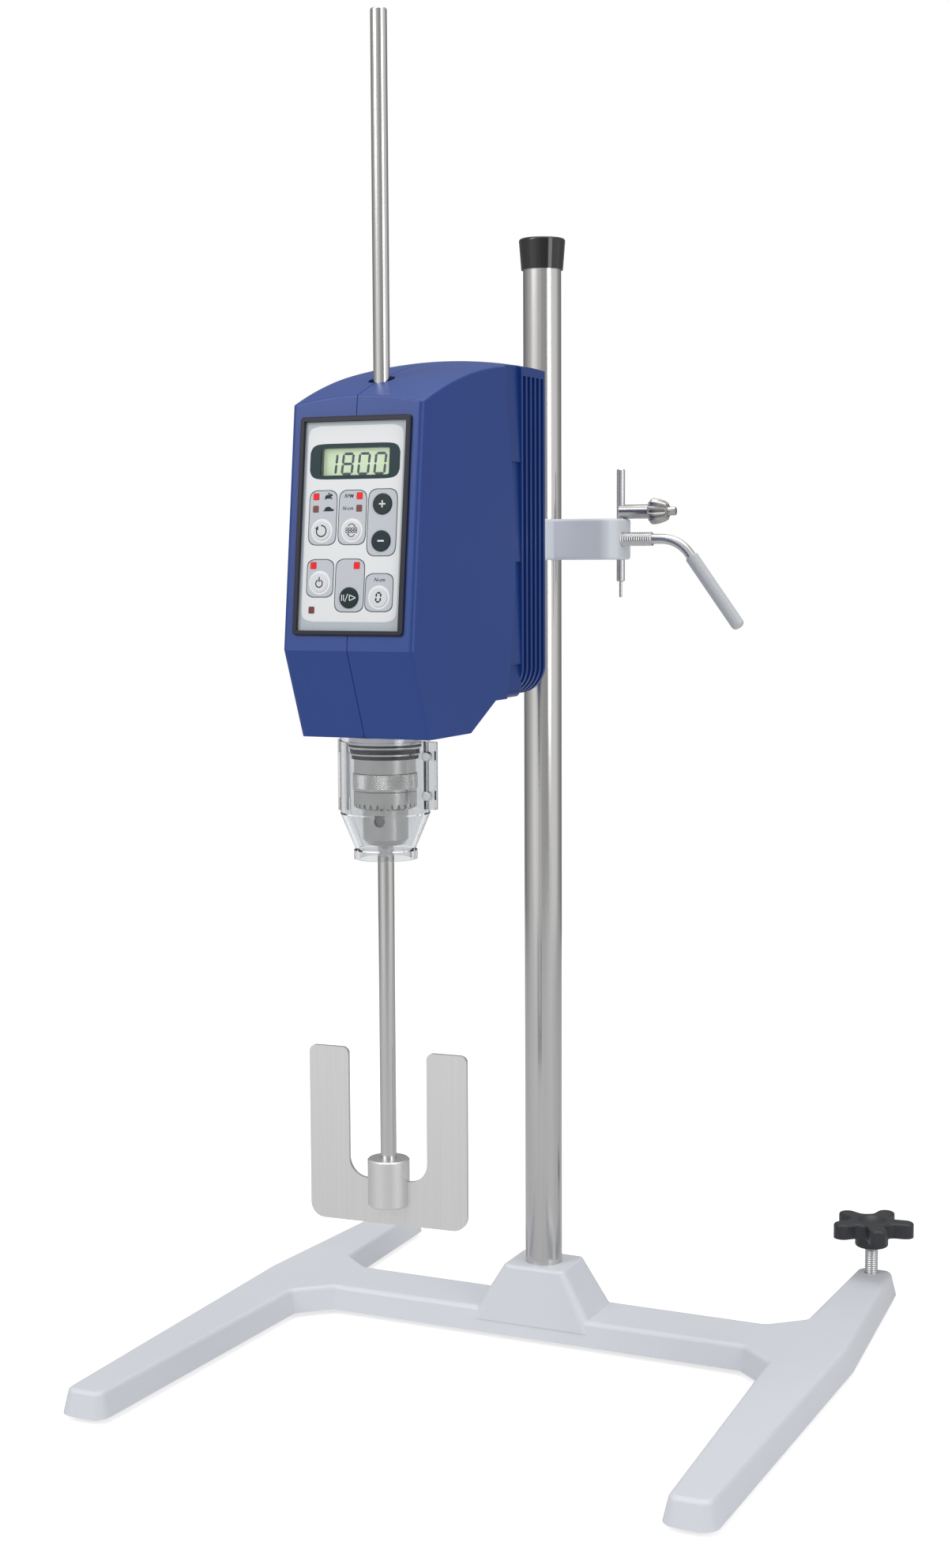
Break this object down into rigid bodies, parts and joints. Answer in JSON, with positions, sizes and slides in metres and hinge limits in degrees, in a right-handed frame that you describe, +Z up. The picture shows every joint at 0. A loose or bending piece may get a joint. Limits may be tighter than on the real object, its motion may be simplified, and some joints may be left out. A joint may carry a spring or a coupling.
{
  "type": "overhead stirrer",
  "caption": "Overhead laboratory stirrer: blue drive head with keypad and display on a rod clamp, keyed chuck in a clear splash guard, anchor paddle, H-shaped stand.",
  "frame": {"origin": "middle of the footprint, on the bench", "axes": "+Z up, +X towards the levelling knob's side, -Y towards the front, where the vessel stands"},
  "size_m": [0.4404, 0.4726, 0.8458],
  "materials": {
    "stand_paint": "light grey powder coat on the casting, satin",
    "clamp_paint": "light grey enamel, smooth satin",
    "clamp_grip": "light grey plastic sleeve, glossy",
    "black_rubber": "matte black",
    "steel_fastener": "zinc plated, dull shine",
    "bright_stainless": "ground and polished stainless, bright",
    "paddle_stainless": "blasted stainless, matte",
    "black_gloss": "moulded black, glossy",
    "knob_plastic": "moulded dark grey, matte",
    "blue_shell": "moulded blue, satin with a fine grain",
    "blue_cover": "moulded blue, satin with a fine grain",
    "bezel_plastic": "moulded dark grey, matte",
    "overlay_white": "printed film, satin",
    "lens_clear": "clear window, glossy",
    "lcd_green": "pale green display, glossy",
    "led_red": "red lens, glossy",
    "board_green": "green circuit board, satin",
    "inlet_plastic": "moulded black, matte",
    "key_light": "light grey key, satin",
    "key_dark": "dark green-grey key, satin",
    "cast_aluminium": "machined casting",
    "collar_aluminium": "turned, satin",
    "bearing_steel": "ground steel, polished",
    "motor_case": "black paint, satin",
    "chuck_steel": "hardened steel, fine turned finish",
    "jaw_steel": "hardened steel, dark",
    "clear_guard": "clear plastic, glossy"
  },
  "bodies": {
    "base": {"base_casting": "stand_paint", "foot_pads": "black_rubber", "rod_set_screw": "steel_fastener"},
    "rod": {"support_rod": "bright_stainless", "rod_cap": "black_gloss"},
    "levelling_screw": {"levelling_stud": "steel_fastener", "levelling_foot": "steel_fastener"},
    "knob": {"levelling_knob": "knob_plastic"},
    "clamp": {"clamp_body": "clamp_paint", "stem_lock_screw": "steel_fastener"},
    "pad": {"clamp_pad": "steel_fastener"},
    "lever": {"clamp_lever": "bright_stainless", "lever_grip": "clamp_grip"},
    "chuck_key": {"key_bar": "steel_fastener", "key_pinion": "chuck_steel"},
    "head": {"mounting_stem": "bright_stainless", "housing_left": "blue_shell", "housing_right": "blue_shell", "rear_cover": "blue_cover", "cover_screws": "steel_fastener", "power_inlet": "inlet_plastic", "panel_bezel": "bezel_plastic", "panel_overlay": "overlay_white", "display_lens": "lens_clear", "lcd_module": "lcd_green", "indicator_leds": "led_red", "key_switches": "inlet_plastic", "control_board": "board_green", "chassis": "cast_aluminium", "motor": "motor_case", "motor_screws": "steel_fastener", "drive_belt": "black_rubber", "lower_bearing": "bearing_steel", "upper_bearing": "bearing_steel", "spindle_collar": "collar_aluminium", "spindle_seal": "black_rubber", "guard_rear": "clear_guard", "guard_hinge_pin": "steel_fastener"},
    "motor_drive": {"motor_shaft": "steel_fastener", "motor_pulley": "cast_aluminium"},
    "spindle_drive": {"spindle": "bright_stainless", "spindle_pulley": "cast_aluminium", "chuck_body": "chuck_steel"},
    "sleeve": {"chuck_sleeve": "chuck_steel", "chuck_nut": "jaw_steel"},
    "jaw_1": {"chuck_jaw_1": "jaw_steel"},
    "jaw_2": {"chuck_jaw_2": "jaw_steel"},
    "jaw_3": {"chuck_jaw_3": "jaw_steel"},
    "shaft": {"stirring_shaft": "bright_stainless", "paddle_hub": "paddle_stainless", "paddle_blade": "paddle_stainless"},
    "door": {"guard_door": "clear_guard", "guard_studs": "steel_fastener"},
    "direction_key_cap": {"direction_key": "key_light"},
    "display_key_cap": {"display_key": "key_light"},
    "plus_key_cap": {"plus_key": "key_dark"},
    "minus_key_cap": {"minus_key": "key_dark"},
    "power_key_cap": {"power_key": "key_light"},
    "run_key_cap": {"run_key": "key_dark"},
    "zero_key_cap": {"zero_key": "key_light"}
  },
  "joints": [
    {"name": "rod_turn", "type": "hinge", "parent": "base", "child": "rod", "pos_m": [0, 0.04771, 0.05], "axis": [0, 0, 1], "range_deg": [-25, 25]},
    {"name": "clamp_height", "type": "slide", "parent": "rod", "child": "clamp", "axis": [0, 0, 1], "range_m": [-0.1, 0.16]},
    {"name": "pad_advance", "type": "slide", "parent": "clamp", "child": "pad", "axis": [1, 0, 0], "range_m": [0, 0.0024]},
    {"name": "lever_turn", "type": "hinge", "parent": "pad", "child": "lever", "pos_m": [0.05, 0.04771, 0.5485], "axis": [1, 0, 0], "range_deg": [0, 540]},
    {"name": "key_lift", "type": "slide", "parent": "clamp", "child": "chuck_key", "axis": [0, 0, 1], "range_m": [0, 0.06]},
    {"name": "head_roll", "type": "hinge", "parent": "clamp", "child": "head", "pos_m": [0, -0.01229, 0.5485], "axis": [0, 1, 0], "range_deg": [-8, 8]},
    {"name": "spindle_spin", "type": "hinge", "parent": "head", "child": "spindle_drive", "pos_m": [0, -0.18899, 0.45], "axis": [0, 0, 1], "continuous": true},
    {"name": "motor_spin", "type": "hinge", "parent": "head", "child": "motor_drive", "pos_m": [0, -0.11229, 0.55], "axis": [0, 0, 1], "continuous": true},
    {"name": "shaft_height", "type": "slide", "parent": "spindle_drive", "child": "shaft", "axis": [0, 0, 1], "range_m": [-0.015, 0.13]},
    {"name": "sleeve_turn", "type": "hinge", "parent": "spindle_drive", "child": "sleeve", "pos_m": [0, -0.18899, 0.4], "axis": [0, 0, 1], "range_deg": [0, 720]},
    {"name": "jaw_1_slide", "type": "slide", "parent": "spindle_drive", "child": "jaw_1", "axis": [0.1316, -0.0453, 0.9903], "range_m": [0, 0.0032]},
    {"name": "jaw_2_slide", "type": "slide", "parent": "spindle_drive", "child": "jaw_2", "axis": [-0.0266, 0.1366, 0.9903], "range_m": [0, 0.0032]},
    {"name": "jaw_3_slide", "type": "slide", "parent": "spindle_drive", "child": "jaw_3", "axis": [-0.105, -0.0913, 0.9903], "range_m": [0, 0.0032]},
    {"name": "guard_swing", "type": "hinge", "parent": "head", "child": "door", "pos_m": [-0.0288, -0.18899, 0.41], "axis": [0, 0, -1], "range_deg": [0, 110]},
    {"name": "levelling_lift", "type": "slide", "parent": "base", "child": "levelling_screw", "axis": [0, 0, 1], "range_m": [-0.0032, 0.0048]},
    {"name": "knob_turn", "type": "hinge", "parent": "levelling_screw", "child": "knob", "pos_m": [0.1903, 0.20671, 0.05], "axis": [0, 0, 1], "range_deg": [-720, 1080]},
    {"name": "direction_press", "type": "slide", "parent": "head", "child": "direction_key_cap", "axis": [0, 0.9937, -0.1118], "range_m": [0, 0.0005], "stiffness_N_per_m": 400},
    {"name": "display_press", "type": "slide", "parent": "head", "child": "display_key_cap", "axis": [0, 0.9937, -0.1118], "range_m": [0, 0.0005], "stiffness_N_per_m": 400},
    {"name": "plus_press", "type": "slide", "parent": "head", "child": "plus_key_cap", "axis": [0, 0.9937, -0.1118], "range_m": [0, 0.0005], "stiffness_N_per_m": 400},
    {"name": "minus_press", "type": "slide", "parent": "head", "child": "minus_key_cap", "axis": [0, 0.9937, -0.1118], "range_m": [0, 0.0005], "stiffness_N_per_m": 400},
    {"name": "power_press", "type": "slide", "parent": "head", "child": "power_key_cap", "axis": [0, 0.9937, -0.1118], "range_m": [0, 0.0005], "stiffness_N_per_m": 400},
    {"name": "run_press", "type": "slide", "parent": "head", "child": "run_key_cap", "axis": [0, 0.9937, -0.1118], "range_m": [0, 0.0005], "stiffness_N_per_m": 400},
    {"name": "zero_press", "type": "slide", "parent": "head", "child": "zero_key_cap", "axis": [0, 0.9937, -0.1118], "range_m": [0, 0.0005], "stiffness_N_per_m": 400}
  ],
  "couplings": [
    {"joint": "motor_spin", "follows": "spindle_spin", "ratio": 2},
    {"joint": "pad_advance", "follows": "lever_turn", "m_per_rad": 0.00025266},
    {"joint": "levelling_lift", "follows": "knob_turn", "m_per_rad": 0.00025266},
    {"joint": "jaw_1_slide", "follows": "sleeve_turn", "m_per_rad": 0.00025465},
    {"joint": "jaw_2_slide", "follows": "sleeve_turn", "m_per_rad": 0.00025465},
    {"joint": "jaw_3_slide", "follows": "sleeve_turn", "m_per_rad": 0.00025465}
  ]
}
